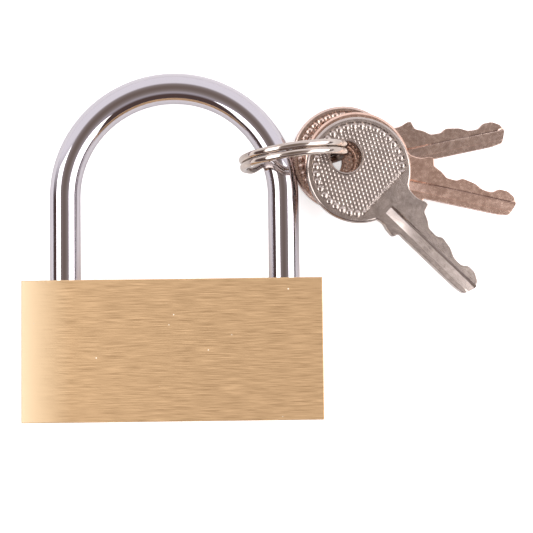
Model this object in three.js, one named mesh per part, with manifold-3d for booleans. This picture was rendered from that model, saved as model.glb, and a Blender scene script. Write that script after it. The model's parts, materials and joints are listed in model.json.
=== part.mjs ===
// Brass padlock with a spring latch, its split ring and three keys.
// Millimetres. The lock lies on its back: X across the body, Y towards the shackle, Z up.
// The origin is the centre of the body's back face. The plug is stored turned to open, so
// the latch is drawn back and the shackle is free to lift.
import * as THREE from 'three';
import { mergeVertices } from 'three/addons/utils/BufferGeometryUtils.js';
import Module from 'manifold-3d';

const wasm = await Module();
wasm.setup();

// Body
const BODY = { w: 60, h: 28.3, t: 13, chamfer: 0.15 };
const MID = BODY.t / 2;
const TOP = BODY.h / 2;

// Shackle
const ROD = 3.15;
const LEG_GAP = 0.2;
const ARCH = { x: 0.2, y: 31.4, r: 22.3 };
const HEEL = { x: ARCH.x - ARCH.r, end: -6.5, floor: -11 };
const TOE = { x: ARCH.x + ARCH.r, end: 4.7, floor: 3.7 };
const LIFT = 10.5;
const HEEL_PIN = { r: 1.25, x: HEEL.x + 3.35, y: 8, top: 9.5 };
const HEEL_NECK = 1.75;

// Latch and its drive
const LATCH = { r: 2.5, bore: 2.7, y: 9.4, left: -5.2, tip: 19.1, floor: -11, throw: 2.4 };
const DRIVE = { r: 0.95, e: 1.697, top: 8.9 };
const LATCH_PLUG = { left: 26, right: 29.95 };

// Lock plug, from the keyhole face up to its end disc
const PLUG = { r: 5, bore: 5.15, bottom: -TOP + 0.1, top: 5.7, floor: 6.0 };
const GROOVE = { low: 2.95, high: 4.6, r: 4.05 };
const PLUG_PIN = { r: 0.7, x: -4.9, y: 3.78, top: 9 };
const KEYWAY = { half: 1.1, low: -4.1, high: 2.6, end: 4.85, ward: 0.4 };

// Tumblers
const TUMBLER = { y0: -10, pitch: 3.75, r: 1.35, plugBore: 1.47, bodyBore: 1.5 };
const KEY_PIN_LOW = [1.25, 1.85, 0.4, 1.4];
const KEY_PIN_TOP = 4.8;
const DRIVER = { near: 5.08, far: 9.6 };
const CHAMBER_PLUG = { near: 17.8, far: 29.95, r: 1.42 };

// Split ring: two coils side by side, standing on edge round the toe side of the arch
const RING = { x: 24.71, y: 38.56, z: 11.24, r: 10.38, wire: 0.72, pitch: 1.5, turn: 7.4 };
const RING_JOG = { at: 225, half: 15, end: 20 };

// Keys: hole centre, direction of the blade and the slope of the key along X and Y
const KEY = { thick: 1.8, bow: 10.85, hole: 3.2, holeAt: -3.7, rim: 9.7, relief: 0.22, boss: 0.42 };
const KEYS = {
  key_1: { at: [35.25, 38.66, 8.92], turn: -44.1, slope: [-0.157, -0.006] },
  key_2: { at: [34.15, 38.35, 6.00], turn: -12.5, slope: [-0.075, 0.030] },
  key_3: { at: [31.57, 38.47, 3.55], turn: 11.2, slope: [-0.041, 0.063] },
};

const BRASS = { color: 0xd2aa7a, roughness: 0.38, metalness: 1 };
const CHROME = { color: 0xdcdae0, roughness: 0.08, metalness: 1 };
const STEEL = { color: 0xa8a8ac, roughness: 0.3, metalness: 1 };
const SPRING_STEEL = { color: 0x8f9096, roughness: 0.35, metalness: 1 };
const NICKEL = { color: 0xa8968a, roughness: 0.32, metalness: 1 };

// three.js geometry to a manifold solid, and back
function solid(geometry) {
  const g = geometry.clone();
  g.deleteAttribute('normal');
  g.deleteAttribute('uv');
  const merged = mergeVertices(g, 1e-5);
  return new wasm.Manifold(new wasm.Mesh({
    numProp: 3,
    vertProperties: new Float32Array(merged.attributes.position.array),
    triVerts: new Uint32Array(merged.index.array),
  }));
}

function geometryOf(shape) {
  const mesh = shape.getMesh();
  const g = new THREE.BufferGeometry();
  g.setAttribute('position', new THREE.BufferAttribute(mesh.vertProperties, 3));
  g.setIndex(new THREE.BufferAttribute(mesh.triVerts, 1));
  return g;
}

// A round bar from a to b along one axis, the other two coordinates given by at
function bar(axis, r, a, b, at, sides = 32, endR = r) {
  const g = new THREE.CylinderGeometry(endR, r, b - a, sides);
  if (axis === 'x') g.rotateZ(-Math.PI / 2);
  if (axis === 'z') g.rotateX(Math.PI / 2);
  const mid = (a + b) / 2;
  if (axis === 'x') g.translate(mid, at[0], at[1]);
  if (axis === 'y') g.translate(at[0], mid, at[1]);
  if (axis === 'z') g.translate(at[0], at[1], mid);
  return solid(g);
}

function block(x0, x1, y0, y1, z0, z1) {
  const g = new THREE.BoxGeometry(x1 - x0, y1 - y0, z1 - z0);
  g.translate((x0 + x1) / 2, (y0 + y1) / 2, (z0 + z1) / 2);
  return solid(g);
}

// A bar with both ends chamfered
function pinBar(axis, r, a, b, at, sides = 24, c = 0.25) {
  return bar(axis, r - c, a, a + c, at, sides, r)
    .add(bar(axis, r, a + c, b - c, at, sides))
    .add(bar(axis, r, b - c, b, at, sides, r - c));
}

function sweep(curve, r, steps, sides) {
  const circle = new THREE.Shape();
  circle.absarc(0, 0, r, 0, Math.PI * 2);
  return new THREE.ExtrudeGeometry(circle, {
    steps, curveSegments: sides / 2, extrudePath: curve, bevelEnabled: false,
  });
}

class ShacklePath extends THREE.Curve {
  getPoint(t, target = new THREE.Vector3()) {
    const heel = ARCH.y - HEEL.end - 0.5;
    const toe = ARCH.y - TOE.end - 0.5;
    const arc = Math.PI * ARCH.r;
    const s = t * (heel + arc + toe);
    if (s <= heel) return target.set(HEEL.x, HEEL.end + 0.5 + s, MID);
    if (s >= heel + arc) return target.set(TOE.x, ARCH.y - (s - heel - arc), MID);
    const a = Math.PI * (1 - (s - heel) / arc);
    return target.set(ARCH.x + ARCH.r * Math.cos(a), ARCH.y + ARCH.r * Math.sin(a), MID);
  }
}

class CoilPath extends THREE.Curve {
  constructor(radius, from, to, turns) {
    super();
    Object.assign(this, { radius, from, to, turns });
  }
  getPoint(t, target = new THREE.Vector3()) {
    const a = t * this.turns * Math.PI * 2;
    const z = this.from + (this.to - this.from) * t;
    return target.set(this.radius * Math.cos(a), this.radius * Math.sin(a), z);
  }
}

// Round the ring twice, stepping from one coil to the other in a short jog
class SplitRingPath extends THREE.Curve {
  getPoint(t, target = new THREE.Vector3()) {
    const { at, half, end } = RING_JOG;
    const deg = end + t * (720 - 2 * end);
    const side = THREE.MathUtils.smoothstep(deg, 360 - half, 360 + half) - 0.5;
    const a = THREE.MathUtils.degToRad(at + deg);
    return target.set(RING.r * Math.cos(a), side * RING.pitch, RING.r * Math.sin(a));
  }
}

function makeBody() {
  const s = new THREE.Shape();
  const w = BODY.w / 2 - BODY.chamfer;
  const h = TOP - BODY.chamfer;
  s.moveTo(-w, -h).lineTo(w, -h).lineTo(w, h).lineTo(-w, h).closePath();
  const g = new THREE.ExtrudeGeometry(s, {
    depth: BODY.t - 2 * BODY.chamfer,
    bevelThickness: BODY.chamfer, bevelSize: BODY.chamfer, bevelSegments: 1,
  });
  g.translate(0, 0, BODY.chamfer);
  let body = solid(g);
  const c = [0, MID];
  const cuts = [
    bar('y', ROD + LEG_GAP, HEEL.floor, TOP + 1, [HEEL.x, MID], 48),
    bar('y', ROD + LEG_GAP, TOE.floor, TOP + 1, [TOE.x, MID], 48),
    bar('x', LATCH.bore, LATCH.floor, BODY.w / 2 + 1, [LATCH.y, MID], 36),
    bar('y', PLUG.bore, -TOP - 1, PLUG.floor, c, 64),
    bar('y', DRIVE.e + DRIVE.r + 0.4, PLUG.floor - 1, LATCH.y, c, 32),
    bar('z', HEEL_PIN.r + 0.06, -1, HEEL_PIN.top + 0.1, [HEEL_PIN.x, HEEL_PIN.y], 24),
    bar('z', PLUG_PIN.r + 0.06, -1, PLUG_PIN.top + 0.1, [PLUG_PIN.x, PLUG_PIN.y], 20),
  ];
  for (let i = 0; i < 4; i++) {
    const y = TUMBLER.y0 + i * TUMBLER.pitch;
    cuts.push(bar('x', TUMBLER.bodyBore, 4, BODY.w / 2 + 1, [y, MID], 24));
  }
  for (const cut of cuts) body = body.subtract(cut);
  return body;
}

function makeShackle() {
  let rod = solid(sweep(new ShacklePath(), ROD, 54, 24));
  rod = rod.add(bar('y', ROD - 0.5, HEEL.end, HEEL.end + 0.5, [HEEL.x, MID], 24, ROD));
  rod = rod.add(bar('y', ROD - 0.5, TOE.end, TOE.end + 0.5, [TOE.x, MID], 24, ROD));
  const neckY = HEEL_PIN.y - LIFT;
  const half = HEEL_PIN.r + 0.2;
  const ring = bar('y', ROD + 1, neckY - half, neckY + half, [HEEL.x, MID], 24)
    .subtract(bar('y', HEEL_NECK, neckY - 2, neckY + 2, [HEEL.x, MID], 24));
  rod = rod.subtract(ring);
  rod = rod.subtract(
    block(HEEL.x + HEEL_NECK, HEEL.x + 5, neckY, HEEL_PIN.y + HEEL_PIN.r + 0.3, 0, BODY.t));
  const notch = LATCH.r + 0.4;
  return rod.subtract(
    block(TOE.x - 5, LATCH.tip + LATCH.throw + 0.4, LATCH.y - notch, LATCH.y + notch, 0, BODY.t));
}

function makeLatch() {
  let latch = bar('x', LATCH.r, LATCH.left, LATCH.tip - 1, [LATCH.y, MID], 32);
  latch = latch.add(bar('x', LATCH.r, LATCH.tip - 1, LATCH.tip, [LATCH.y, MID], 32, LATCH.r - 0.6));
  const slotX = -DRIVE.e * Math.SQRT1_2;
  const half = DRIVE.r + 0.1;
  return latch.subtract(block(slotX - half, slotX + half, 6, DRIVE.top + 0.2, 0, BODY.t));
}

// The keyway's outline across the plug, with one ward on its side
function keywayCut() {
  const k = KEYWAY;
  const s = new THREE.Shape();
  s.moveTo(-k.half, k.low).lineTo(k.half, k.low).lineTo(k.half, k.high).lineTo(-k.half, k.high);
  s.lineTo(-k.half, -0.8).lineTo(-k.half + k.ward, -1.1).lineTo(-k.half + k.ward, -2.2);
  s.lineTo(-k.half, -2.5).closePath();
  const g = new THREE.ExtrudeGeometry(s, { depth: k.end + TOP + 1, bevelEnabled: false });
  g.rotateX(Math.PI / 2);
  g.translate(0, k.end, MID);
  return solid(g);
}

function makePlug() {
  const p = PLUG;
  let plug = bar('y', p.r, p.bottom, GROOVE.low, [0, MID], 64)
    .add(bar('y', GROOVE.r, GROOVE.low, GROOVE.high, [0, MID], 64))
    .add(bar('y', p.r, GROOVE.high, p.top, [0, MID], 64));
  const a = -Math.PI / 4;
  const at = [DRIVE.e * Math.sin(a), MID + DRIVE.e * Math.cos(a)];
  plug = plug.add(bar('y', DRIVE.r, p.top - 0.2, DRIVE.top, at, 20));
  plug = plug.subtract(keywayCut());
  for (let i = 0; i < 4; i++) {
    const y = TUMBLER.y0 + i * TUMBLER.pitch;
    plug = plug.subtract(bar('z', TUMBLER.plugBore, MID - 0.3, MID + 6, [0, y], 24));
  }
  return plug;
}

// A key in its own frame: blade along +X, the bitting on +Y, mid-plane at z = 0
function keyOutline() {
  const s = new THREE.Shape();
  const a = Math.atan2(4.9, 9.3);
  const b = Math.atan2(-4.75, 9.36);
  s.absarc(0, 0, KEY.bow, a, b + Math.PI * 2, false);
  s.quadraticCurveTo(10.4, -4.55, 11.4, -4.7).lineTo(12.1, -4.95);
  s.lineTo(13.5, -5.15).quadraticCurveTo(14.5, -5.3, 14.65, -4.5).lineTo(15, -3.85);
  s.lineTo(32.8, -3.85).lineTo(33.95, -0.95).lineTo(33.15, 0.4).lineTo(31.6, 1.28);
  s.lineTo(29.8, 1.3).lineTo(28.6, 0.4).lineTo(27.4, 0.35).lineTo(26.3, 0.5).lineTo(24.7, 1.35);
  s.lineTo(21.95, 1.85).lineTo(20.75, 1.15).lineTo(18.65, 1.22).lineTo(17.35, 2.25);
  s.lineTo(15.6, 3.05).lineTo(15.15, 4.7).lineTo(14.3, 4.75).lineTo(13.2, 4.3);
  s.quadraticCurveTo(11.7, 3.95, 10.3, 4.35).closePath();
  return s;
}

// The recessed field on the bow's faces: a disc cut short at the neck, round the hole's boss
function reliefCut(z0, z1) {
  const s = new THREE.Shape();
  const across = 7.0;
  const a = Math.acos(across / KEY.rim);
  s.absarc(0, 0, KEY.rim, a, Math.PI * 2 - a, false);
  s.closePath();
  const g = new THREE.ExtrudeGeometry(s, {
    depth: z1 - z0, curveSegments: 20, bevelEnabled: false,
  });
  g.translate(0, 0, z0);
  const boss = bar('z', KEY.hole + KEY.boss, z0 - 1, z1 + 1, [KEY.holeAt, 0], 24);
  return solid(g).subtract(boss);
}

function makeKey(spec) {
  const half = KEY.thick / 2;
  const bevel = 0.2;
  const g = new THREE.ExtrudeGeometry(keyOutline(), {
    depth: KEY.thick - 2 * bevel, curveSegments: 18,
    bevelThickness: bevel, bevelSize: bevel, bevelOffset: -bevel, bevelSegments: 1,
  });
  g.translate(0, 0, -half + bevel);
  let key = solid(g);
  key = key.subtract(bar('z', KEY.hole, -3, 3, [KEY.holeAt, 0], 36));
  key = key.subtract(reliefCut(half - KEY.relief, half + 1));
  key = key.subtract(reliefCut(-half - 1, -half + KEY.relief));
  key = key.subtract(block(10, 40, -2.6, -0.7, half - 0.6, half + 1));
  const out = geometryOf(key);
  out.translate(-KEY.holeAt, 0, 0);
  return tilt(out, spec);
}

// Lays a flat piece on its sloping plane, with its own X pointing along spec.turn in plan
function tilt(g, spec) {
  const t = THREE.MathUtils.degToRad(spec.turn);
  const [sx, sy] = spec.slope;
  const n = new THREE.Vector3(-sx, -sy, 1).normalize();
  const u = new THREE.Vector3(Math.cos(t), Math.sin(t), 0);
  u.z = sx * u.x + sy * u.y;
  u.normalize();
  const v = new THREE.Vector3().crossVectors(n, u);
  const m = new THREE.Matrix4().makeBasis(u, v, n);
  m.setPosition(...spec.at);
  return g.applyMatrix4(m);
}

function makeRing() {
  const g = sweep(new SplitRingPath(), RING.wire, 110, 12);
  g.rotateZ(THREE.MathUtils.degToRad(RING.turn));
  g.translate(RING.x, RING.y, RING.z);
  return g;
}

function spring(axis, radius, wire, a, b, at, turns, sides = 8) {
  const curve = new CoilPath(radius, a + wire, b - wire, turns);
  const g = sweep(curve, wire, Math.round(turns * 12), sides);
  if (axis === 'x') g.rotateY(Math.PI / 2);
  if (axis === 'y') g.rotateX(-Math.PI / 2);
  if (axis === 'x') g.translate(0, at[0], at[1]);
  if (axis === 'y') g.translate(at[0], 0, at[1]);
  return g;
}

const group = new THREE.Group();
group.name = 'padlock';

function add(name, geometry, look) {
  const g = geometry.index ? geometry.toNonIndexed() : geometry;
  g.computeVertexNormals();
  const mesh = new THREE.Mesh(g, new THREE.MeshStandardMaterial(look));
  mesh.name = name;
  group.add(mesh);
}

add('body', geometryOf(makeBody()), BRASS);
add('shackle', geometryOf(makeShackle()), CHROME);
add('shackle_spring', spring('y', 2.2, 0.38, HEEL.floor + 0.1, HEEL.end - 0.1,
  [HEEL.x, MID], 4), SPRING_STEEL);
add('shackle_retaining_pin', geometryOf(pinBar('z', HEEL_PIN.r, 0.05, HEEL_PIN.top,
  [HEEL_PIN.x, HEEL_PIN.y])), STEEL);
add('latch_bolt', geometryOf(makeLatch()), STEEL);
add('latch_spring', spring('x', 1.9, 0.35, LATCH.floor + 0.1, LATCH.left - 0.1,
  [LATCH.y, MID], 5), SPRING_STEEL);
add('latch_bore_plug', geometryOf(pinBar('x', LATCH.bore - 0.06, LATCH_PLUG.left,
  LATCH_PLUG.right, [LATCH.y, MID], 36)), BRASS);
add('lock_plug', geometryOf(makePlug()), BRASS);
add('plug_retaining_pin', geometryOf(pinBar('z', PLUG_PIN.r, 0.05, PLUG_PIN.top,
  [PLUG_PIN.x, PLUG_PIN.y], 20, 0.15)), STEEL);

for (let i = 0; i < 4; i++) {
  const y = TUMBLER.y0 + i * TUMBLER.pitch;
  const n = i + 1;
  add(`key_pin_${n}`, geometryOf(pinBar('z', TUMBLER.r, MID + KEY_PIN_LOW[i],
    MID + KEY_PIN_TOP, [0, y], 20, 0.3)), BRASS);
  add(`driver_pin_${n}`, geometryOf(pinBar('x', TUMBLER.r, DRIVER.near, DRIVER.far,
    [y, MID], 20, 0.2)), STEEL);
  add(`pin_spring_${n}`, spring('x', 0.98, 0.17, DRIVER.far + 0.05, CHAMBER_PLUG.near - 0.05,
    [y, MID], 7, 6), SPRING_STEEL);
  add(`chamber_plug_${n}`, geometryOf(pinBar('x', CHAMBER_PLUG.r, CHAMBER_PLUG.near,
    CHAMBER_PLUG.far, [y, MID], 24)), BRASS);
}

add('key_ring', makeRing(), STEEL);
for (const [name, spec] of Object.entries(KEYS)) add(name, makeKey(spec), NICKEL);

export default group;
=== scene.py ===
"""Padlock with its split ring and keys, lying on its back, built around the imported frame."""
import json
import math

import bmesh
import bpy
import numpy as np
from mathutils import Matrix, Vector
from mathutils.geometry import delaunay_2d_cdt


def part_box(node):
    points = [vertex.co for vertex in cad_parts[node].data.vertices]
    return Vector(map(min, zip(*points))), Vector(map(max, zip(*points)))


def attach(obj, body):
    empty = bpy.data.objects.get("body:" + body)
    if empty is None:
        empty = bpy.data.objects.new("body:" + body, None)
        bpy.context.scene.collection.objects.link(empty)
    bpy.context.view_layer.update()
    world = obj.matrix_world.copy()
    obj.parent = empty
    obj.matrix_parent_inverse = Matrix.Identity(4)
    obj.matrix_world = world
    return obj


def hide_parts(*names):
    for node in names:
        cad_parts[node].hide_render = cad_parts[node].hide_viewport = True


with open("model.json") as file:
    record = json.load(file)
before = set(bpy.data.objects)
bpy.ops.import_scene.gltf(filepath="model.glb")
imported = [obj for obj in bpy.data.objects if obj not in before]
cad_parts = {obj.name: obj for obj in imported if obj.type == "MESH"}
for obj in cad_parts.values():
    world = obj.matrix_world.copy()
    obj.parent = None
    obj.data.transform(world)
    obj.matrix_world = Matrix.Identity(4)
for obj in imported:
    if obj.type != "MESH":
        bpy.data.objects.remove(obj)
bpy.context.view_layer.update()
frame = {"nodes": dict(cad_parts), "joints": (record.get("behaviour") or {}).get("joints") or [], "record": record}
MM = 0.001


# ---------------------------------------------------------------- node helpers
def new_material(name):
    mat = bpy.data.materials.new(name)
    mat.use_nodes = True
    mat.node_tree.nodes.clear()
    return mat, mat.node_tree


def feed(tree, value, socket):
    """Links an output socket to an input socket, or sets a plain value on it."""
    if hasattr(value, "is_output"):
        tree.links.new(value, socket)
    else:
        socket.default_value = value


def metal(tree, base, roughness):
    """A metallic Principled shader on the output; base and roughness are sockets or values."""
    out = tree.nodes.new("ShaderNodeOutputMaterial")
    shader = tree.nodes.new("ShaderNodeBsdfPrincipled")
    shader.inputs["Metallic"].default_value = 1.0
    feed(tree, base, shader.inputs["Base Color"])
    feed(tree, roughness, shader.inputs["Roughness"])
    tree.links.new(shader.outputs[0], out.inputs["Surface"])
    return shader


def scaled_noise(tree, coords, scale, detail, stretch=(1, 1, 1), offset=(0, 0, 0)):
    """Noise whose blobs are longer along each axis by the factors in stretch."""
    mapping = tree.nodes.new("ShaderNodeMapping")
    mapping.inputs["Scale"].default_value = [1 / s for s in stretch]
    mapping.inputs["Location"].default_value = offset
    tree.links.new(coords, mapping.inputs["Vector"])
    noise = tree.nodes.new("ShaderNodeTexNoise")
    noise.inputs["Scale"].default_value = scale
    noise.inputs["Detail"].default_value = detail
    tree.links.new(mapping.outputs[0], noise.inputs["Vector"])
    return noise.outputs["Fac"]


def ramp(tree, fac, stops):
    """A colour ramp over fac, from (position, colour) stops."""
    node = tree.nodes.new("ShaderNodeValToRGB")
    tree.links.new(fac, node.inputs["Fac"])
    els = node.color_ramp.elements
    while len(els) > 1:
        els.remove(els[-1])
    for i, (pos, color) in enumerate(stops):
        el = els[0] if i == 0 else els.new(pos)
        el.position = pos
        el.color = (*color, 1)
    return node.outputs["Color"]


def grey(tree, fac, stops):
    """A ramp of plain values."""
    return ramp(tree, fac, [(p, (v, v, v)) for p, v in stops])


def math_node(tree, operation, a, b):
    node = tree.nodes.new("ShaderNodeMath")
    node.operation = operation
    feed(tree, a, node.inputs[0])
    feed(tree, b, node.inputs[1])
    return node.outputs[0]


# The Mix node's colour sockets, which share their names with its other kinds.
MIX_LOW, MIX_HIGH, MIX_OUT = 6, 7, 2


def mix_color(tree, fac, low, high):
    """The low colour where fac is 0, and the high one where it is 1."""
    node = tree.nodes.new("ShaderNodeMix")
    node.data_type = "RGBA"
    tree.links.new(fac, node.inputs[0])
    feed(tree, low, node.inputs[MIX_LOW])
    feed(tree, high, node.inputs[MIX_HIGH])
    return node.outputs[MIX_OUT]


def bump(tree, shader, height, strength, distance):
    node = tree.nodes.new("ShaderNodeBump")
    node.inputs["Strength"].default_value = strength
    node.inputs["Distance"].default_value = distance
    tree.links.new(height, node.inputs["Height"])
    tree.links.new(node.outputs[0], shader.inputs["Normal"])


def object_coords(tree):
    return tree.nodes.new("ShaderNodeTexCoord").outputs["Object"]


# ---------------------------------------------------------------- materials
# Brushed lines, a second set of broader ones, and how much of each is in the tone.
LINE_SCALE, LINE_STRETCH, LINE_SHARE = 9000, (42, 1, 1), 0.8
BROAD_SCALE, BROAD_STRETCH, BROAD_SHARE = 4600, (34, 1, 1), 0.2
BRUSH_DEPTH = 0.005 * MM
PIT_SCALE, PIT_ROUGHER = 300, 0.4
# The left end rolls over by ROLL_CURVE times the square of the way past ROLL_FROM. Its colour
# there is painted paler as a highlight, and is fully pale after one over the last value, in metres.
ROLL_FROM, ROLL_CURVE, SHEEN_PAINT_RATE = 20 * MM, 6.8, 95
BRASS_TONES = [(0.36, (0.742, 0.502, 0.271)), (0.64, (0.844, 0.592, 0.341))]
# The first colour is the painted highlight on the left end; the second is the pits' colour.
BRASS_PAINTED_SHEEN, BRASS_PIT = (0.68, 0.54, 0.36, 1), (1.0, 0.97, 0.88, 1)
CHROME_COLOR = (0.56, 0.535, 0.57, 1)


def brass_material():
    """Brushed along X, with a left end that rolls over a little and is painted paler as a highlight, and a few
    bright pits.
    """
    mat, t = new_material("brushed_brass")
    co = object_coords(t)
    lines = scaled_noise(t, co, LINE_SCALE, 3, LINE_STRETCH)
    broad = scaled_noise(t, co, BROAD_SCALE, 1, BROAD_STRETCH, offset=(0.3, 0.1, 0.2))
    tone = math_node(t, "ADD", math_node(t, "MULTIPLY", lines, LINE_SHARE),
                     math_node(t, "MULTIPLY", broad, BROAD_SHARE))
    base = ramp(t, tone, BRASS_TONES)
    pits = t.nodes.new("ShaderNodeTexVoronoi")
    pits.inputs["Scale"].default_value = PIT_SCALE
    t.links.new(co, pits.inputs["Vector"])
    fleck = grey(t, pits.outputs["Distance"], [(0.03, 1.0), (0.05, 0.0)])
    base = mix_color(t, fleck, base, BRASS_PIT)
    rough = grey(t, tone, [(0.35, 0.36), (0.65, 0.52)])
    rough = math_node(t, "ADD", rough, math_node(t, "MULTIPLY", fleck, PIT_ROUGHER))
    shader = metal(t, base, rough)
    place = t.nodes.new("ShaderNodeSeparateXYZ")
    t.links.new(co, place.inputs[0])
    past = math_node(t, "MAXIMUM", math_node(t, "SUBTRACT", -ROLL_FROM, place.outputs["X"]), 0.0)
    roll = math_node(t, "MULTIPLY", math_node(t, "MULTIPLY", past, past), -ROLL_CURVE)
    # Painted highlight: the colour turns pale towards the left end.
    base = mix_color(t, math_node(t, "MULTIPLY", past, SHEEN_PAINT_RATE), base, BRASS_PAINTED_SHEEN)
    t.links.new(base, shader.inputs["Base Color"])
    height = math_node(t, "ADD", roll, math_node(t, "MULTIPLY", tone, BRUSH_DEPTH))
    bump(t, shader, height, 1.0, 1.0)
    return mat


def chrome_material():
    """Mirror plating whose gloss changes a little in smears."""
    mat, t = new_material("bright_chrome")
    co = object_coords(t)
    smear = scaled_noise(t, co, 220, 3)
    rough = grey(t, smear, [(0.4, 0.045), (0.7, 0.09)])
    metal(t, CHROME_COLOR, rough)
    return mat


def nickel_material(name, colors, rough_range):
    """Dull plating, mottled between two colours, with a fine grain."""
    mat, t = new_material(name)
    co = object_coords(t)
    tone = scaled_noise(t, co, 420, 5)
    base = ramp(t, tone, [(0.36, colors[0]), (0.66, colors[1])])
    fine = scaled_noise(t, co, 1300, 3)
    rough = grey(t, fine, [(0.3, rough_range[0]), (0.75, rough_range[1])])
    shader = metal(t, base, rough)
    bump(t, shader, fine, 0.05, 0.04 * MM)
    return mat


def steel_material(name, base, roughness):
    """Plain steel for the hidden pins and springs."""
    mat, t = new_material(name)
    co = object_coords(t)
    fine = scaled_noise(t, co, 1500, 3)
    rough = grey(t, fine, [(0.3, roughness - 0.06), (0.75, roughness + 0.08)])
    metal(t, base, rough)
    return mat


# ---------------------------------------------------------------- mesh helpers
FLAT = math.cos(math.radians(0.5))


def link_mesh(name, verts, faces):
    mesh = bpy.data.meshes.new(name)
    mesh.from_pydata([tuple(v) for v in verts], [], faces)
    obj = bpy.data.objects.new(name, mesh)
    bpy.context.scene.collection.objects.link(obj)
    return obj


def make_object(name, verts, faces, material, node, sharp_angle=32, level=None):
    """Links a mesh that stands for one CAD node and rides on the body of the same name. It is
    smooth except at edges above sharp_angle and on faces that lie flat across level."""
    obj = link_mesh(name, verts, faces)
    mesh = obj.data
    mesh.validate()
    bm = bmesh.new()
    bm.from_mesh(mesh)
    bmesh.ops.recalc_face_normals(bm, faces=bm.faces)
    for face in bm.faces:
        face.smooth = level is None or abs(face.normal.dot(level)) < FLAT
    limit = math.radians(sharp_angle)
    for edge in bm.edges:
        edge.smooth = len(edge.link_faces) == 2 and edge.calc_face_angle(0) < limit
    bm.to_mesh(mesh)
    bm.free()
    mesh.materials.append(material)
    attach(obj, node)
    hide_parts(node)


def sweep(path, frames, section, sizes):
    """Rings of points along a path, closed at both ends. Each ring has two axes in frames and
    a factor in sizes; section is its outline."""
    verts, faces = [], []
    count = len(section)
    for p, (u, v), size in zip(path, frames, sizes):
        verts += [p + (u * a + v * b) * size for a, b in section]
    for a in range(0, (len(path) - 1) * count, count):
        b = a + count
        for j in range(count):
            k = (j + 1) % count
            faces.append((a + j, a + k, b + k, b + j))
    faces.append(tuple(reversed(range(count))))
    last = (len(path) - 1) * count
    faces.append(tuple(range(last, last + count)))
    return verts, faces


def round_section(radius, sides):
    turn = 2 * math.pi / sides
    return [(radius * math.cos(turn * i), radius * math.sin(turn * i)) for i in range(sides)]


# ---------------------------------------------------------------- shackle
ROD = 3.15 * MM
ARCH = Vector((0.2, 31.4, 6.5)) * MM
ARCH_R = 22.3 * MM
HEEL_END, TOE_END = -6.5 * MM, 4.7 * MM
END_CHAMFER = 0.5 * MM
NECK_Y, NECK_HALF, NECK_R = -2.5 * MM, 1.45 * MM, 1.75 * MM
FLAT_TOP = 9.55 * MM
NOTCH_Y, NOTCH_HALF, NOTCH_X = 9.4 * MM, 2.9 * MM, 21.9 * MM
ROD_SIDES, COLLAR_SIDES, ARCH_STEPS = 72, 64, 96
# Rings along the straight legs, which start a little way in from their ends.
LEG_FROM, HEEL_RINGS, TOE_RINGS = 2 * MM, 14, 12


def block_object(name, low, high):
    corners = [(x, y, z) for x in (low[0], high[0]) for y in (low[1], high[1])
               for z in (low[2], high[2])]
    faces = [(0, 1, 3, 2), (4, 6, 7, 5), (0, 4, 5, 1), (2, 3, 7, 6), (0, 2, 6, 4), (1, 5, 7, 3)]
    return link_mesh(name, corners, faces)


def collar_object(name, centre, inner, outer, half):
    """A short tube round the Y axis, used to cut a groove."""
    sides = COLLAR_SIDES
    rings = [(outer, -half), (outer, half), (inner, half), (inner, -half)]
    verts = [centre + Vector((a, y, b)) for r, y in rings for a, b in round_section(r, sides)]
    faces = []
    for i in range(len(rings)):
        n = (i + 1) % len(rings)
        for j in range(sides):
            k = (j + 1) % sides
            faces.append((i * sides + j, n * sides + j, n * sides + k, i * sides + k))
    return link_mesh(name, verts, faces)


def cut(verts, faces, cutters):
    """Takes the cutters out of a closed mesh and returns what is left as verts and faces."""
    obj = link_mesh("cutting", verts, faces)
    for solid in [obj] + cutters:
        bm = bmesh.new()
        bm.from_mesh(solid.data)
        bmesh.ops.recalc_face_normals(bm, faces=bm.faces)
        bm.to_mesh(solid.data)
        bm.free()
    for cutter in cutters:
        mod = obj.modifiers.new(cutter.name, "BOOLEAN")
        mod.operation = "DIFFERENCE"
        mod.solver = "EXACT"
        mod.object = cutter
    done = obj.evaluated_get(bpy.context.evaluated_depsgraph_get()).to_mesh()
    out = [v.co.copy() for v in done.vertices], [tuple(f.vertices) for f in done.polygons]
    for used in [obj] + cutters:
        data = used.data
        bpy.data.objects.remove(used)
        bpy.data.meshes.remove(data)
    return out


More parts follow.
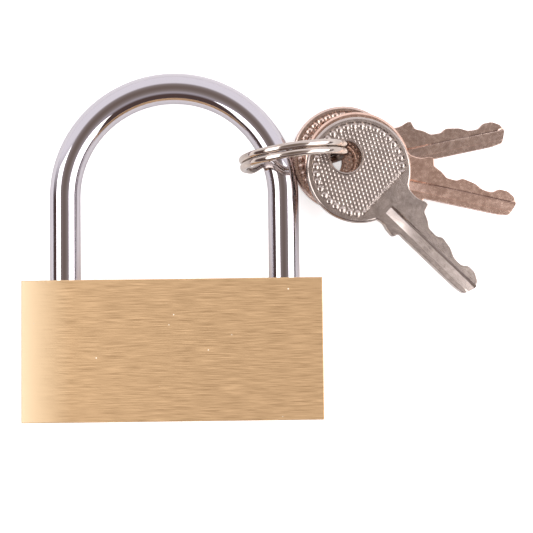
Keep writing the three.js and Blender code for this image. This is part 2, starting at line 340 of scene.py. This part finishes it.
def make_shackle():
    """A bar from the heel's end round the arch to the toe's end, with the cuts for its pins."""
    heel_x, toe_x = ARCH.x - ARCH_R, ARCH.x + ARCH_R
    across, up = Vector((1, 0, 0)), Vector((0, 0, 1))
    path, frames, sizes = [], [], []

    def ring(x, y, side, size=1.0):
        path.append(Vector((x, y, ARCH.z)))
        frames.append((side, up))
        sizes.append(size)

    small = 1 - END_CHAMFER / ROD
    ring(heel_x, HEEL_END, -across, small)
    ring(heel_x, HEEL_END + END_CHAMFER, -across)
    for y in np.linspace(HEEL_END + LEG_FROM, ARCH.y, HEEL_RINGS)[:-1]:
        ring(heel_x, y, -across)
    for i in range(ARCH_STEPS + 1):
        a = math.pi * (1 - i / ARCH_STEPS)
        out = Vector((math.cos(a), math.sin(a), 0))
        ring(ARCH.x + ARCH_R * out.x, ARCH.y + ARCH_R * out.y, out)
    for y in np.linspace(ARCH.y, TOE_END + LEG_FROM, TOE_RINGS)[1:]:
        ring(toe_x, y, across)
    ring(toe_x, TOE_END + END_CHAMFER, across)
    ring(toe_x, TOE_END, across, small)
    verts, faces = sweep(path, frames, round_section(ROD, ROD_SIDES), sizes)
    heel = Vector((heel_x, NECK_Y, ARCH.z))
    wide = 10 * MM
    cutters = [
        collar_object("neck", heel, NECK_R, wide / 2, NECK_HALF),
        block_object("flat", (heel_x + NECK_R, NECK_Y, -wide),
                     (heel_x + wide / 2, FLAT_TOP, wide * 2)),
        block_object("notch", (toe_x - wide / 2, NOTCH_Y - NOTCH_HALF, -wide),
                     (NOTCH_X, NOTCH_Y + NOTCH_HALF, wide * 2)),
    ]
    verts, faces = cut(verts, faces, cutters)
    make_object("shackle_bar", verts, faces, CHROME, "shackle")


# ---------------------------------------------------------------- split ring
RING_R = 10.38 * MM
RING_WIRE = 0.72 * MM
RING_PITCH = 1.5 * MM
RING_TURN = math.radians(7.4)
# Degrees round the ring: where the jog between its coils is, half the jog's length, and how
# far short of the jog each coil's end stops.
RING_JOG, JOG_HALF, RING_GAP = 225, 15, 20
RING_STEPS, WIRE_SIDES = 420, 24
WIRE_FLAT = 0.86
WIRE_END = (0.72, 0.88, 0.96)


def smoothstep(x, low, high):
    """0 up to low and 1 from high on, with a soft rise between."""
    t = min(1.0, max(0.0, (x - low) / (high - low)))
    return t * t * (3 - 2 * t)


def make_ring():
    """One wire, a little flattened, wound nearly twice, with a jog from one coil to the other."""
    low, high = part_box("key_ring")
    centre = (low + high) / 2
    along = Vector((math.cos(RING_TURN), math.sin(RING_TURN), 0))
    axle = Vector((-math.sin(RING_TURN), math.cos(RING_TURN), 0))
    up = Vector((0, 0, 1))
    path, frames, sizes = [], [], []
    for i in range(RING_STEPS + 1):
        deg = RING_GAP + (720 - 2 * RING_GAP) * i / RING_STEPS
        side = smoothstep(deg, 360 - JOG_HALF, 360 + JOG_HALF) - 0.5
        a = math.radians(RING_JOG + deg)
        out = along * math.cos(a) + up * math.sin(a)
        path.append(centre + out * RING_R + axle * side * RING_PITCH)
        frames.append((out, axle))
        from_end = min(i, RING_STEPS - i)
        sizes.append(WIRE_END[from_end] if from_end < len(WIRE_END) else 1.0)
    section = [tuple(math.copysign(abs(c) ** WIRE_FLAT, c) * RING_WIRE for c in point)
               for point in round_section(1.0, WIRE_SIDES)]
    verts, faces = sweep(path, frames, section, sizes)
    make_object("split_ring", verts, faces, RING_NICKEL, "key_ring")


# ---------------------------------------------------------------- keys
# A key's own frame, in millimetres: blade along +X, bitting on +Y, centre of the bow at 0.
KEY_HALF = 0.9
BOW_R = 10.85
HOLE_R = 3.2
HOLE_X = -3.7
# The pressed field on the bow ends at a circle and at a chord on the blade's side. A wall
# that slopes over WALL_OUT and WALL_IN leads down to its floor.
FIELD_R, CHORD_X, RELIEF = 9.7, 7.0, 0.22
WALL_OUT, WALL_IN = 0.08, 0.05
BOW_EDGE, NECK_EDGE, BLADE_EDGE, HOLE_EDGE = 0.5, 0.2, 0.1, 0.2
ROUNDING = [math.radians(a) for a in (0, 30, 60, 90)]
GROOVE_START, GROOVE_END, GROOVE_TOP, GROOVE_LOW = 10.0, 32.4, -0.62, -2.78
# GROOVE_WALL is where across the groove its floor is deepest. The floor slopes by up to
# GROOVE_DEPTH less GROOVE_BED at the start, and by the share GROOVE_TIPPED of that further on,
# with GROOVE_TIPPED_END more at the tip. The low wall takes the share GROOVE_LIP of its width.
GROOVE_DEPTH, GROOVE_BED, GROOVE_WALL, GROOVE_LIP = 0.5, 0.13, 0.86, 0.02
GROOVE_TIPPED, GROOVE_TIPPED_END, GROOVE_FADE = 0.1, 0.1, 6.0
LIP_ROW, START_WALL = 0.05, 0.03
TIP = Vector((33.95, -0.95))
BOW_SHOULDER = (9.3, 4.9)
BOW_HEEL = (9.36, -4.75)
# How fine the mesh is: the knurl's grid, and the points round or along each line.
CELL, BLADE_STEP, CHORD_STEP, MERGE = 0.085, 0.3, 0.2, 0.03
BOW_POINTS, HOLE_POINTS, FIELD_POINTS, GROOVE_ROWS, GROOVE_POINTS = 150, 72, 170, 17, 70


def bezier(a, b, c, count):
    """Points after a, up to c, on a quadratic curve."""
    pts = []
    for i in range(1, count + 1):
        t = i / count
        pts.append(tuple((1 - t) ** 2 * p + 2 * t * (1 - t) * q + t * t * r
                         for p, q, r in zip(a, b, c)))
    return pts


def soften(points, rounds=2, share=0.12):
    """Cuts the corners of an open run of points, leaving its two ends where they are."""
    for _ in range(rounds):
        out = [points[0]]
        for a, b in zip(points, points[1:]):
            out.append(tuple(p + (q - p) * share for p, q in zip(a, b)))
            out.append(tuple(p + (q - p) * (1 - share) for p, q in zip(a, b)))
        out.append(points[-1])
        points = out
    return points


def fill_run(points, step):
    """Adds points so that no stretch is longer than step."""
    out = []
    for a, b in zip(points, points[1:]):
        n = max(1, math.ceil(math.dist(a, b) / step))
        out += [tuple(p + (q - p) * i / n for p, q in zip(a, b)) for i in range(n)]
    return out + [points[-1]]


def key_outline():
    """The outline as (x, y, edge radius), anticlockwise from the bow's upper shoulder."""
    start = math.atan2(BOW_SHOULDER[1], BOW_SHOULDER[0])
    stop = math.atan2(BOW_HEEL[1], BOW_HEEL[0]) + 2 * math.pi
    bow = [(BOW_R * math.cos(a), BOW_R * math.sin(a))
           for a in np.linspace(start, stop, BOW_POINTS)]
    lower = bezier(bow[-1], (10.4, -4.55), (11.4, -4.7), 6) + [(12.1, -4.95), (13.5, -5.15)]
    lower += bezier((13.5, -5.15), (14.5, -5.3), (14.65, -4.5), 6) + [(15, -3.85)]
    blade = [(15, -3.85), (32.8, -3.85), (33.95, -0.95), (33.15, 0.4), (31.6, 1.28), (29.8, 1.3),
             (28.6, 0.4), (27.4, 0.35), (26.3, 0.5), (24.7, 1.35), (21.95, 1.85), (20.75, 1.15),
             (18.65, 1.22), (17.35, 2.25), (15.6, 3.05), (15.15, 4.7), (14.3, 4.75), (13.2, 4.3)]
    upper = bezier((13.2, 4.3), (11.7, 3.95), (10.3, 4.35), 8)
    pts = [(x, y, BOW_EDGE) for x, y in bow]
    pts += [(x, y, NECK_EDGE) for x, y in lower[:-1]]
    pts += [(x, y, BLADE_EDGE) for x, y in fill_run(soften(blade), BLADE_STEP)]
    pts += [(x, y, NECK_EDGE) for x, y in upper]
    kept = [pts[0]]
    for p in pts[1:]:
        if math.dist(p[:2], kept[-1][:2]) > MERGE:
            kept.append(p)
    return kept


def inward(outline):
    """The unit vector at each outline point that points into the key, lengthened at corners."""
    out = []
    n = len(outline)
    for i in range(n):
        a, b, c = (Vector(outline[k % n][:2]) for k in (i - 1, i, i + 1))
        d1, d2 = (b - a).normalized(), (c - b).normalized()
        n1, n2 = Vector((-d1.y, d1.x)), Vector((-d2.y, d2.x))
        m = (n1 + n2).normalized()
        out.append(m / max(0.6, m.dot(n1)))
    return out


# The knurl: slanted bumps in the middle, a ring of beads round them and a row of dots along
# the chord. Heights are shares of RELIEF; BOSS is the plain collar round the hole.
BUMP_PITCH = 0.885
ROW_PITCH = BUMP_PITCH * math.cos(math.radians(30))
BUMP_ANGLE, BUMP_LONG, BUMP_WIDE, BUMP_HIGH = math.radians(-30), 0.29, 0.2, 0.4
BEAD_RING, BEAD_R, BEAD_COUNT, BEAD_FULL = 9.0, 0.62, 36, 1.6
DOT_X, DOT_R, DOT_PITCH, DOT_HIGH = 6.65, 0.22, 0.5, 0.8
BOSS, BOSS_CLEAR, DOT_CLEAR, BEAD_OVER = 0.42, 0.12, 0.15, 0.05
KNURL_HIGH = 0.96


def dome(distance):
    """A round bump: 1 in the middle and 0 from distance 1 outwards."""
    return max(0.0, 1 - distance ** 2)


def knurl(x, y):
    """Height of the pattern above the field's floor, as a share of the relief."""
    r, a = math.hypot(x, y), math.atan2(y, x)
    if math.hypot(x - HOLE_X, y) < HOLE_R + BOSS + BOSS_CLEAR:
        return 0.0
    step = 2 * math.pi / BEAD_COUNT
    side = BEAD_RING * (a / step - round(a / step)) * step
    bead = dome((math.hypot(r - BEAD_RING, side) / BEAD_R) ** BEAD_FULL)
    dot = 0.0
    if r < BEAD_RING - BEAD_R:
        off = y - round(y / DOT_PITCH) * DOT_PITCH
        dot = DOT_HIGH * dome(math.hypot(x - DOT_X, off) / DOT_R)
    if r > BEAD_RING - BEAD_R + BEAD_OVER or x > DOT_X - DOT_R - DOT_CLEAR:
        return max(bead, dot)
    row = round(x / ROW_PITCH)
    dx, dy = x - row * ROW_PITCH, y / BUMP_PITCH + 0.5 * (row % 2)
    dy = (dy - round(dy)) * BUMP_PITCH
    along = dx * math.cos(BUMP_ANGLE) + dy * math.sin(BUMP_ANGLE)
    across = dy * math.cos(BUMP_ANGLE) - dx * math.sin(BUMP_ANGLE)
    return max(bead, BUMP_HIGH * dome(across / BUMP_WIDE) * dome(along / BUMP_LONG))


def groove_drop(x, y):
    """Depth of the milled groove: its floor slopes down to a steep wall on the bitting side."""
    if x < GROOVE_START:
        return 0.0
    share = min(1.0, max(0.0, (y - GROOVE_LOW) / (GROOVE_TOP - GROOVE_LOW)))
    slope = min(share / GROOVE_WALL, (1 - share) / (1 - GROOVE_WALL))
    channel = min(1.0, share / GROOVE_LIP, (1 - share) / (1 - GROOVE_WALL))
    near, far = (x - GROOVE_START) / GROOVE_FADE, (TIP.x - x) / GROOVE_FADE
    tipped = (GROOVE_TIPPED + (1 - GROOVE_TIPPED) * math.exp(-near ** 2)
              + GROOVE_TIPPED_END * math.exp(-far ** 2))
    return GROOVE_BED * channel + (GROOVE_DEPTH - GROOVE_BED) * slope * min(1.0, tipped)


def build_key():
    """Vertices and faces of one key, with its hole's centre at the origin, in metres."""
    pts, heights, edges = [], [], []

    def loop(points, z, closed=True):
        """Adds a line of points that the faces keep to, at one height or a list of heights."""
        first = len(pts)
        for i, p in enumerate(points):
            pts.append(Vector(p[:2]))
            heights.append(z[i] if isinstance(z, list) else z)
        last = len(pts)
        edges.extend((i, i + 1) for i in range(first, last - 1))
        if closed:
            edges.append((last - 1, first))
        return list(range(first, last))

    def circle(r):
        turn = 2 * math.pi / HOLE_POINTS
        return [(HOLE_X + r * math.cos(turn * i), r * math.sin(turn * i))
                for i in range(HOLE_POINTS)]

    def field_loop(r, chord):
        a = math.acos(chord / r)
        arc = [(r * math.cos(t), r * math.sin(t))
               for t in np.linspace(a, 2 * math.pi - a, FIELD_POINTS)]
        return arc + fill_run([arc[-1], arc[0]], CHORD_STEP)[1:-1]

    outline = key_outline()
    lean = inward(outline)
    rim = None
    for phi in ROUNDING:
        c, d = math.cos(phi), math.sin(phi)
        ring = [(p[0] + m.x * p[2] * (1 - c), p[1] + m.y * p[2] * (1 - c))
                for p, m in zip(outline, lean)]
        ids = loop(ring, [KEY_HALF - p[2] * (1 - d) for p in outline])
        rim = rim or ids
    hole = None
    for phi in ROUNDING:
        c, d = math.cos(phi), math.sin(phi)
        ids = loop(circle(HOLE_R + HOLE_EDGE * (1 - c)), KEY_HALF - HOLE_EDGE * (1 - d))
        hole = hole or ids
    boss = HOLE_R + BOSS
    loop(circle(boss - WALL_OUT), KEY_HALF)
    loop(circle(boss + WALL_IN), KEY_HALF - RELIEF)
    loop(field_loop(FIELD_R + WALL_OUT, CHORD_X + WALL_OUT), KEY_HALF)
    loop(field_loop(FIELD_R - WALL_IN, CHORD_X - WALL_IN), KEY_HALF - RELIEF)
    rows = np.linspace(GROOVE_TOP, GROOVE_LOW, GROOVE_ROWS)
    for y in (*rows, GROOVE_LOW + LIP_ROW):
        loop([(x, y) for x in np.linspace(GROOVE_START, GROOVE_END, GROOVE_POINTS)],
             KEY_HALF, closed=False)
    loop([(GROOVE_START - START_WALL, y) for y in rows], KEY_HALF, closed=False)

    root = math.sqrt(0.5)
    clear = 2 * WALL_IN
    reach = int(FIELD_R / CELL) + 1
    for i in range(-reach, reach + 1):
        for j in range(-reach, reach + 1):
            x, y = (i - j) * CELL * root, (i + j) * CELL * root
            if (math.hypot(x, y) < FIELD_R - clear and x < CHORD_X - clear
                    and math.hypot(x - HOLE_X, y) > boss + clear):
                pts.append(Vector((x, y)))
                heights.append(KEY_HALF - RELIEF * (1 - KNURL_HIGH * knurl(x, y)))

    flat, _, faces, origin, _, _ = delaunay_2d_cdt(pts, edges, [], 0, 1e-6)
    top, back = [], [None] * len(pts)
    for i, ids in enumerate(origin):
        z = heights[ids[0]] if ids else KEY_HALF
        for k in ids:
            back[k] = i
        top.append(z)
    centre = np.array([[sum(flat[v].x for v in f) / 3, sum(flat[v].y for v in f) / 3]
                       for f in faces])
    inside = in_polygon(centre, [o[:2] for o in outline])
    # The hole's sides are chords of its circle, whose middles lie a little inside it.
    chord_r = HOLE_R * math.cos(math.pi / HOLE_POINTS)
    inside &= np.hypot(centre[:, 0] - HOLE_X, centre[:, 1]) > chord_r
    kept = [tuple(f) for f, ok in zip(faces, inside) if ok]

    count = len(flat)
    verts = [(p.x - HOLE_X, p.y, min(z, KEY_HALF - groove_drop(p.x, p.y)))
             for p, z in zip(flat, top)]
    verts += [(p.x - HOLE_X, p.y, -z) for p, z in zip(flat, top)]
    solid = kept + [tuple(v + count for v in reversed(f)) for f in kept]
    for ids in (rim, hole):
        ids = [back[k] for k in ids]
        for a, b in zip(ids, ids[1:] + ids[:1]):
            if a != b:
                solid.append((a, b, b + count, a + count))
    used = sorted({v for f in solid for v in f})
    number = {v: i for i, v in enumerate(used)}
    return ([Vector(verts[v]) * MM for v in used],
            [tuple(number[v] for v in f) for f in solid])


def in_polygon(points, polygon):
    """Which of the points lie inside the polygon."""
    inside = np.zeros(len(points), bool)
    x, y = points[:, 0], points[:, 1]
    for (x0, y0), (x1, y1) in zip(polygon, polygon[1:] + polygon[:1]):
        if y0 == y1:
            continue
        hit = (y0 > y) != (y1 > y)
        inside ^= hit & (x < (x1 - x0) * (y - y0) / (y1 - y0) + x0)
    return inside


def key_place(name):
    """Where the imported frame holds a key: its hole's centre, its blade's direction, its normal."""
    joint = next(j for j in frame["joints"] if j["name"] == name + "_swing")
    at, normal = Vector(joint["pos_m"]), Vector(joint["axis"]).normalized()
    far = max((v.co for v in frame["nodes"][name].data.vertices), key=lambda c: (c - at).length)
    arm = far - at
    arm -= normal * arm.dot(normal)
    tip = TIP - Vector((HOLE_X, 0))
    blade = (Matrix.Rotation(-math.atan2(tip.y, tip.x), 3, normal) @ arm).normalized()
    turn = Matrix((blade, normal.cross(blade), normal)).transposed().to_4x4()
    return Matrix.Translation(at) @ turn


def make_keys():
    verts, faces = build_key()
    for name, material in zip(("key_1", "key_2", "key_3"), KEY_LOOKS):
        place = key_place(name)
        moved = [place @ v for v in verts]
        level = (place.to_3x3() @ Vector((0, 0, 1))).normalized()
        make_object(name + "_cut", moved, faces, material, name, 40, level)


# ---------------------------------------------------------------- stage
FLOOR_HALF, FLOOR_DROP = 1.2, 0.2 * MM
FLOOR_LIFT = 0.6


def make_floor():
    """A pale sheet just under the object, lifted to white where the camera sees it."""
    half = FLOOR_HALF
    corners = [(-half, -half, 0), (half, -half, 0), (half, half, 0), (-half, half, 0)]
    floor = link_mesh("floor", corners, [(0, 1, 2, 3)])
    mat, t = new_material("pale_floor")
    out = t.nodes.new("ShaderNodeOutputMaterial")
    shader = t.nodes.new("ShaderNodeBsdfPrincipled")
    shader.inputs["Base Color"].default_value = (0.92, 0.92, 0.93, 1)
    shader.inputs["Roughness"].default_value = 0.9
    shader.inputs["Emission Color"].default_value = (1, 1, 1, 1)
    seen = t.nodes.new("ShaderNodeLightPath").outputs["Is Camera Ray"]
    lift = math_node(t, "MULTIPLY", seen, FLOOR_LIFT)
    t.links.new(lift, shader.inputs["Emission Strength"])
    t.links.new(shader.outputs[0], out.inputs["Surface"])
    floor.data.materials.append(mat)
    floor.location.z = -FLOOR_DROP


VIEW_CENTRE = Vector((18.91, 16.36, 13)) * MM
VIEW_DISTANCE = 280 * MM
VIEW_TILT = math.radians(4)
VIEW_ROLL = math.radians(0.73)
VIEW_WIDTH = 106.2 * MM


def make_camera():
    """Almost straight above, leaning a little towards the keyhole's side."""
    data = bpy.data.cameras.new("camera")
    data.lens = data.sensor_width * VIEW_DISTANCE / VIEW_WIDTH
    data.clip_start = 0.01
    data.clip_end = 20
    cam = bpy.data.objects.new("camera", data)
    bpy.context.scene.collection.objects.link(cam)
    back = Vector((0, -math.sin(VIEW_TILT), math.cos(VIEW_TILT)))
    turn = Matrix.Rotation(VIEW_TILT, 4, "X") @ Matrix.Rotation(-VIEW_ROLL, 4, "Z")
    cam.matrix_world = Matrix.Translation(VIEW_CENTRE + back * VIEW_DISTANCE) @ turn
    bpy.context.scene.camera = cam
    bpy.context.scene.view_settings.view_transform = "Standard"


def soft_box(name, place, aim, length, width):
    """An area light of a set brightness; length runs along Y."""
    data = bpy.data.lights.new(name, "AREA")
    data.shape = "RECTANGLE"
    data.size, data.size_y = length, width
    data.energy = BOX_GLOW * length * width
    light = bpy.data.objects.new(name, data)
    bpy.context.scene.collection.objects.link(light)
    light.location = place
    light.rotation_euler = (Vector(aim) - Vector(place)).to_track_quat("-Z", "Y").to_euler()


# Each box's side of the object, its tilt from overhead in degrees and its width. Both are
# BOX_FORWARD nearer the keyhole's side than the object.
BOXES = {"left": (-1, 44.0, 0.5), "right": (1, 56.0, 0.72)}
BOX_DISTANCE, BOX_FORWARD, BOX_LENGTH, BOX_GLOW = 0.9, 0.16, 1.0, 11.0
# The sky's colours over the height Z of the direction: in front, and behind the arch.
SKY_TOP = [(0.9, (0.42, 0.36, 0.34)), (1.0, (0.26, 0.2, 0.17))]
SKY_FRONT = [(0.0, (0.16, 0.12, 0.13)), (0.3, (0.12, 0.08, 0.07)), (0.62, (0.14, 0.09, 0.08)),
             (0.8, (0.62, 0.57, 0.6)), *SKY_TOP]
SKY_BEHIND = [(0.0, (1.22, 1.18, 1.23)), (0.8, (1.22, 1.18, 1.23)), *SKY_TOP]


def make_light():
    """Two soft boxes over a sky that is pale behind the arch and dim in front and overhead."""
    world = bpy.data.worlds.new("studio")
    world.use_nodes = True
    t = world.node_tree
    t.nodes.clear()
    toward = t.nodes.new("ShaderNodeTexCoord").outputs["Generated"]
    split = t.nodes.new("ShaderNodeSeparateXYZ")
    t.links.new(toward, split.inputs[0])
    front = ramp(t, split.outputs["Z"], SKY_FRONT)
    behind = ramp(t, split.outputs["Z"], SKY_BEHIND)
    depth = grey(t, split.outputs["Y"], [(0.12, 0.0), (0.42, 1.0)])
    sky = mix_color(t, depth, front, behind)
    seen = t.nodes.new("ShaderNodeLightPath").outputs["Is Camera Ray"]
    back = t.nodes.new("ShaderNodeBackground")
    t.links.new(mix_color(t, seen, sky, (1, 1, 1, 1)), back.inputs["Color"])
    out = t.nodes.new("ShaderNodeOutputWorld")
    t.links.new(back.outputs[0], out.inputs["Surface"])
    bpy.context.scene.world = world
    shift = Vector((0.0, -BOX_FORWARD, 0.0))
    for name, (side, tilt, width) in BOXES.items():
        tilt = math.radians(tilt)
        place = Vector((side * math.sin(tilt), 0.0, math.cos(tilt))) * BOX_DISTANCE
        soft_box(name, place + shift, shift, BOX_LENGTH, width)


make_floor()
make_camera()
make_light()

BRASS = brass_material()
CHROME = chrome_material()
# Each key's two colours and its range of roughness: the top key is greyer and smoother. The
# colours are copies of one nickel, tinted and darkened per key as painted reflection and painted shade.
KEY_LIT_COPIES = ((((0.435, 0.375, 0.345), (0.522, 0.454, 0.416)), (0.18, 0.26)),
              (((0.69, 0.485, 0.395), (0.81, 0.585, 0.485)), (0.2, 0.32)),
              (((0.62, 0.48, 0.42), (0.74, 0.58, 0.50)), (0.2, 0.32)))
KEY_LOOKS = [nickel_material(f"key_nickel_{i + 1}", *lit_copy)
             for i, lit_copy in enumerate(KEY_LIT_COPIES)]
RING_NICKEL = nickel_material("ring_nickel", ((0.50, 0.43, 0.38), (0.60, 0.53, 0.48)),
                              (0.1, 0.15))
PIN_STEEL = steel_material("pin_steel", (0.5, 0.5, 0.52, 1), 0.3)
SPRING = steel_material("spring_steel", (0.4, 0.4, 0.42, 1), 0.3)

LOOKS = {
    "brass": BRASS, "shackle_chrome": CHROME, "spring_steel": SPRING, "pin_steel": PIN_STEEL,
    "ring_nickel": RING_NICKEL, "key_nickel": KEY_LOOKS[0],
}
for part in frame["record"]["subparts"]:
    node = frame["nodes"][part["node"]]
    node.data.materials.clear()
    node.data.materials.append(LOOKS[part["material_slot"]])

make_shackle()
make_ring()
make_keys()
